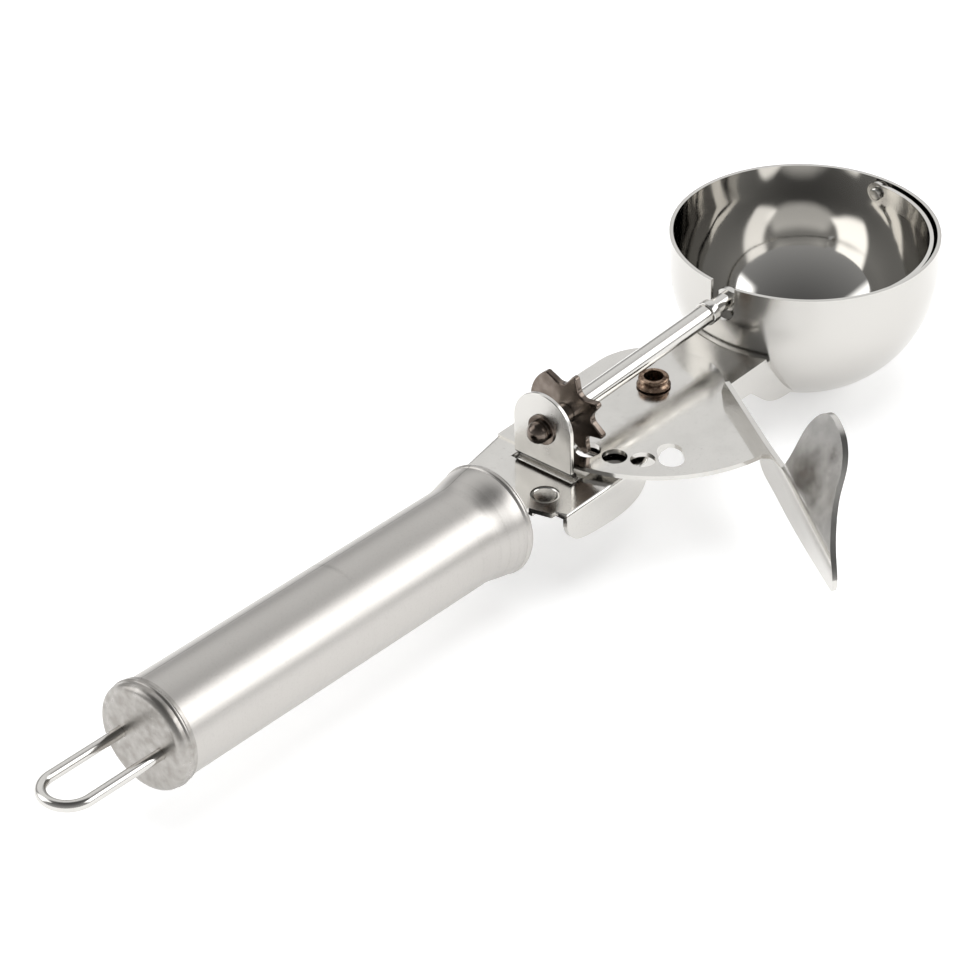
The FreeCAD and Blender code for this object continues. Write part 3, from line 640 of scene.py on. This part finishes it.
class SCOOP_OT_scraper(bpy.types.Operator):
    """Dress the scraper: blade, stem, ferrule, shaft and its round head"""
    bl_idname = "scoop.scraper"
    bl_label = "Scraper"

    def execute(self, context):
        # The blade rests level with the rim, a few degrees below where the solid has it.
        tilt = Matrix.Rotation(-SHAFT_TILT, 4, "Y")
        lower = Matrix.Rotation(BLADE_DROP, 4, "X")
        turn = Matrix.Translation(EAR) @ tilt @ lower @ tilt.inverted() @ Matrix.Translation(-EAR)
        pressed_copy("scraper_band", buffed_bar_steel, "scraper_body", 0.12 * MM, turn=turn)
        pressed_copy("scraper_stem", buffed_bar_steel, "scraper_body", 0.15 * MM)
        pressed_copy("shaft_ferrule", buffed_bar_steel, "scraper_body", 0.05 * MM)
        pressed_copy("scraper_shaft", buffed_bar_steel, "scraper_body", 0.1 * MM)
        pressed_copy("shaft_head", oxidised_steel, "scraper_body", 0.1 * MM)
        pressed_copy("far_pin", buffed_bar_steel, "frame", 0.05 * MM)
        pressed_copy("far_washer", buffed_bar_steel, "frame", 0.05 * MM)
        return {"FINISHED"}


class SCOOP_OT_wheel(bpy.types.Operator):
    """Dress the star wheel and the ear that carries its shaft"""
    bl_idname = "scoop.wheel"
    bl_label = "Star wheel and ear"

    def execute(self, context):
        pressed_copy("star_wheel", oxidised_steel, "scraper_body", 0.3 * MM)
        pressed_copy("ear_bush", oxidised_steel, "frame", 0.08 * MM)
        pressed_copy("bearing_bracket", folded_sheet_steel, "frame", 0.2 * MM)
        return {"FINISHED"}


class SCOOP_OT_lever(bpy.types.Operator):
    """Dress the holed lever and its thumb pad"""
    bl_idname = "scoop.lever"
    bl_label = "Lever"

    def execute(self, context):
        pressed_copy("lever", rolled_sheet_steel, "lever_body")
        return {"FINISHED"}


class SCOOP_OT_arm(bpy.types.Operator):
    """Dress the sheet arm that joins the bowl to the handle"""
    bl_idname = "scoop.arm"
    bl_label = "Arm"

    def execute(self, context):
        pressed_copy("shank", rolled_sheet_steel, "frame", 0.12 * MM, folds=ARM_FOLDS)
        return {"FINISHED"}


class SCOOP_OT_pivot(bpy.types.Operator):
    """Dress the pivot and coil its return spring"""
    bl_idname = "scoop.pivot"
    bl_label = "Pivot and spring"

    def execute(self, context):
        pressed_copy("pivot_eyelet", worn_copper_plate, "frame", 0.08 * MM)
        pressed_copy("pivot_washer", rolled_sheet_steel, "frame", 0.08 * MM)
        pressed_copy("spring_cup", rolled_sheet_steel, "frame", 0.1 * MM)
        low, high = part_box("return_spring")
        wire = sizes().spring_wire
        steps = 48
        slope = COIL_PITCH / (2 * math.pi * COIL_RADIUS)
        start = low.z + wire
        bottom = start + LOWER_LEG * slope
        points = [Vector((PIVOT_X + COIL_RADIUS, -LOWER_LEG, start))]
        for i in range(steps * sizes().spring_turns + 1):
            angle = 2 * math.pi * i / steps
            x, y = COIL_RADIUS * math.cos(angle), COIL_RADIUS * math.sin(angle)
            points.append(Vector((PIVOT_X + x, y, bottom + COIL_PITCH * i / steps)))
        points.append(points[-1] + Vector((0, UPPER_LEG, UPPER_LEG * slope)))
        spring = curve_object("return_spring_piece", points)
        values = {"Wire radius": wire, "Sides": 20, "Material": material_of(buffed_bar_steel)}
        spring = grown(spring, wire_tree(), values)
        clean(spring.data)
        finish_piece(spring, buffed_bar_steel, "frame", "return_spring")
        return {"FINISHED"}


def curve_object(name, points):
    """Open line of straight steps through the points."""
    curve = bpy.data.curves.new(name, "CURVE")
    curve.dimensions = "3D"
    spline = curve.splines.new("POLY")
    spline.points.add(len(points) - 1)
    for point, place in zip(spline.points, points):
        point.co = (*place, 1.0)
    return new_object(name, curve)


class SCOOP_OT_handle(bpy.types.Operator):
    """Make the satin handle tube, its rolled lip and its cap"""
    bl_idname = "scoop.handle"
    bl_label = "Handle"

    def execute(self, context):
        size = sizes()
        seed = new_object("handle_tube_piece", bpy.data.meshes.new("handle_tube_piece"))
        values = {"Radius": size.tube_radius, "Length": size.tube_length, "Flare": FLARE,
                  "Flare start": FLARE_START, "Flare end": FLARE_END, "Sides": 192, "Rings": 185,
                  "Material": material_of(satin_tube_steel)}
        tube = grown(seed, tube_tree(), values)
        clean(tube.data)
        face_outwards(tube.data, axes=(0, 1, 1))
        wall = tube.modifiers.new("Wall", "SOLIDIFY")
        wall.thickness = size.tube_wall
        wall.offset = -1
        tube = baked(tube)
        joined = bmesh.new()
        joined.from_mesh(tube.data)
        joined.from_mesh(lip_mesh())
        joined.to_mesh(tube.data)
        joined.free()
        tube.data.transform(on_handle)
        clean(tube.data, outwards=False)
        finish_piece(tube, satin_tube_steel, "frame", "handle_tube")
        pressed_copy("handle_plug", moulded_nylon, "frame", 0.3 * MM)
        pressed_copy("butt_cap", tumbled_cap_steel, "frame", 0.06 * MM)
        return {"FINISHED"}


def lip_mesh(steps=192, sides=32):
    """Rolled lip of the handle's mouth: a torus about the x axis."""
    points = []
    faces = []
    for i in range(steps):
        turn = 2 * math.pi * i / steps
        for j in range(sides):
            angle = 2 * math.pi * j / sides
            r = LIP_RING + LIP_ROUND * math.cos(angle)
            points.append((LIP_ROUND + LIP_ROUND * math.sin(angle), r * math.cos(turn), r * math.sin(turn)))
            a, b = i * sides, (i + 1) % steps * sides
            k = (j + 1) % sides
            faces.append((a + j, b + j, b + k, a + k))
    mesh = bpy.data.meshes.new("lip")
    mesh.from_pydata(points, [], faces)
    clean(mesh)
    return mesh


class SCOOP_OT_hanging_loop(bpy.types.Operator):
    """Bend the wire loop at the butt"""
    bl_idname = "scoop.hanging_loop"
    bl_label = "Hanging loop"

    def execute(self, context):
        steps = 48
        points = [Vector((LOOP_START, -LOOP_HALF, LOOP_HEIGHT))]
        for i in range(steps + 1):
            angle = -math.pi / 2 + math.pi * i / steps
            along = LOOP_TURN + LOOP_HALF * math.cos(angle)
            points.append(Vector((along, LOOP_HALF * math.sin(angle), LOOP_HEIGHT)))
        points.append(Vector((LOOP_START, LOOP_HALF, LOOP_HEIGHT)))
        loop = curve_object("hanging_loop_piece", [on_handle @ p for p in points])
        values = {"Wire radius": sizes().loop_wire, "Sides": 40, "Material": material_of(buffed_bar_steel)}
        loop = grown(loop, wire_tree(), values)
        clean(loop.data)
        finish_piece(loop, buffed_bar_steel, "frame", "hanging_loop")
        return {"FINISHED"}


class SCOOP_OT_stage(bpy.types.Operator):
    """Set the floor, the studio light and the camera"""
    bl_idname = "scoop.stage"
    bl_label = "Stage"

    def execute(self, context):
        stage = context.scene.scoop_stage
        half = stage.floor_size / 2
        low = cad_box[0][2]
        mesh = bpy.data.meshes.new("floor")
        corners = [(-half, -half, low), (half, -half, low), (half, half, low), (-half, half, low)]
        mesh.from_pydata(corners, [], [(0, 1, 2, 3)])
        floor = new_object("floor", mesh)
        mesh.materials.append(pale_floor())
        studio_world()
        overhead = bpy.data.lights.new("overhead_softbox", "AREA")
        overhead.size = 1.0
        overhead.energy = stage.overhead
        lamp = bpy.data.objects.new("overhead_softbox", overhead)
        lamp.location = (0.0, 0.0, 1.2)
        lamp.visible_glossy = False
        lamp.visible_camera = False
        context.scene.collection.objects.link(lamp)
        camera = bpy.data.objects.new("camera", bpy.data.cameras.new("camera"))
        camera.data.lens = stage.lens
        camera.data.sensor_width = 36.0
        camera.data.clip_start = 0.01
        right = (0.65279, -0.75733, -0.01815)
        up = (0.44191, 0.36123, 0.82111)
        back = (-0.6153, -0.5441, 0.5704)
        turn = Matrix((right, up, back)).transposed().to_4x4()
        camera.matrix_world = Matrix.Translation((-0.49592, -0.34984, 0.35575)) @ turn
        context.scene.collection.objects.link(camera)
        context.scene.camera = camera
        context.scene.view_settings.view_transform = "Standard"
        return {"FINISHED"}


def pale_floor():
    """Matt white board: it looks white to the camera and to metal, and keeps the scoop's shadow."""
    material, tree, shader, place = new_material("matt_white_board", metallic=0.0)
    shader.inputs["Base Color"].default_value = linear("#ebebeb")
    shader.inputs["Roughness"].default_value = 0.9
    shader.inputs["Specular IOR Level"].default_value = 0.0
    ray = add(tree, "ShaderNodeLightPath").outputs
    seen = add(tree, MATH, {0: ray["Is Camera Ray"], 1: ray["Is Glossy Ray"]}, operation="ADD")
    seen = add(tree, MATH, {0: seen, 1: ray["Is Transmission Ray"]}, operation="ADD")
    # What the lit board lacks to be white is added for these rays alone.
    lift = add(tree, MATH, {0: seen, 1: 0.4}, operation="MULTIPLY")
    glow = add(tree, "ShaderNodeEmission", {"Color": (1, 1, 1, 1), "Strength": lift})
    both = add(tree, "ShaderNodeAddShader", {0: shader, 1: glow})
    tree.links.new(both.outputs[0], tree.nodes["Material Output"].inputs["Surface"])
    return material


# Soft boxes of the studio: direction (azimuth from +X, height), half width and half height, edge, strength
SOFT_BOXES = [
    ((-46.0, 30.0), (0.46, 0.32), 0.1, 2.6),
    ((122.0, 32.0), (0.3, 0.45), 0.08, 1.7),
    ((44.0, 46.0), (0.9, 0.42), 0.22, 0.72),
]


def studio_world():
    """Dim grey room with soft boxes to the left, right and behind."""
    world = bpy.data.worlds.new("studio")
    world.use_nodes = True
    tree = world.node_tree
    tree.nodes.clear()
    way = add(tree, "ShaderNodeTexCoord").outputs["Generated"]
    height = add(tree, "ShaderNodeSeparateXYZ", {0: way}).outputs["Z"]
    light = add(tree, RANGE, {"Value": height, "To Min": 0.5, "To Max": 0.1})
    for (azimuth, rise), half, edge, strength in SOFT_BOXES:
        a, h = math.radians(azimuth), math.radians(rise)
        toward = Vector((math.cos(a) * math.cos(h), math.sin(a) * math.cos(h), math.sin(h)))
        aside = Vector((-math.sin(a), math.cos(a), 0.0))
        over = toward.cross(aside)
        reach = []
        for axis in (toward, aside, over):
            dot = add(tree, "ShaderNodeVectorMath", {0: way, 1: axis}, operation="DOT_PRODUCT")
            reach.append(dot.outputs["Value"])
        glow = add(tree, MATH, {0: reach[0], 1: 0.05}, operation="GREATER_THAN")
        for offset, size in zip(reach[1:], half):
            off = add(tree, MATH, {0: offset, 1: reach[0]}, operation="DIVIDE")
            off = add(tree, MATH, {0: off}, operation="ABSOLUTE")
            soft = add(tree, RANGE, {"Value": off, "From Min": size - edge, "From Max": size + edge,
                                     "To Min": 1.0, "To Max": 0.0}, interpolation_type="SMOOTHSTEP")
            glow = add(tree, MATH, {0: glow, 1: soft}, operation="MULTIPLY")
        light = add(tree, MATH, {0: glow, 1: strength, 2: light}, operation="MULTIPLY_ADD")
    studio = add(tree, "ShaderNodeBackground", {"Color": (1, 1, 1, 1), "Strength": light})
    add(tree, "ShaderNodeOutputWorld", {"Surface": studio})
    bpy.context.scene.world = world


class SCOOP_PT_panel(bpy.types.Panel):
    """Lists the scoop's pieces"""
    bl_label = "Ice cream scoop"
    bl_idname = "SCOOP_PT_panel"
    bl_space_type = "VIEW_3D"
    bl_region_type = "UI"
    bl_category = "Scoop"

    def draw(self, context):
        for operator in OPERATORS:
            self.layout.operator(operator.bl_idname)
        for group in (context.scene.scoop_sizes, context.scene.scoop_finishes, context.scene.scoop_stage):
            for name in group.bl_rna.properties.keys():
                if name not in ("rna_type", "name"):
                    self.layout.prop(group, name)


OPERATORS = (SCOOP_OT_bowl, SCOOP_OT_scraper, SCOOP_OT_wheel, SCOOP_OT_lever, SCOOP_OT_arm, SCOOP_OT_pivot,
             SCOOP_OT_handle, SCOOP_OT_hanging_loop, SCOOP_OT_stage)
GROUPS = {"scoop_sizes": ScoopSizes, "scoop_finishes": ScoopFinishes, "scoop_stage": ScoopStage}


def register():
    for name, group in GROUPS.items():
        bpy.utils.register_class(group)
        setattr(bpy.types.Scene, name, bpy.props.PointerProperty(type=group))
    for operator in OPERATORS:
        bpy.utils.register_class(operator)
    bpy.utils.register_class(SCOOP_PT_panel)


def unregister():
    bpy.utils.unregister_class(SCOOP_PT_panel)
    for operator in reversed(OPERATORS):
        bpy.utils.unregister_class(operator)
    for name, group in GROUPS.items():
        delattr(bpy.types.Scene, name)
        bpy.utils.unregister_class(group)


def main():
    register()
    for operator in OPERATORS:
        group, name = operator.bl_idname.split(".")
        getattr(getattr(bpy.ops, group), name)()


if __name__ == "__main__":
    main()
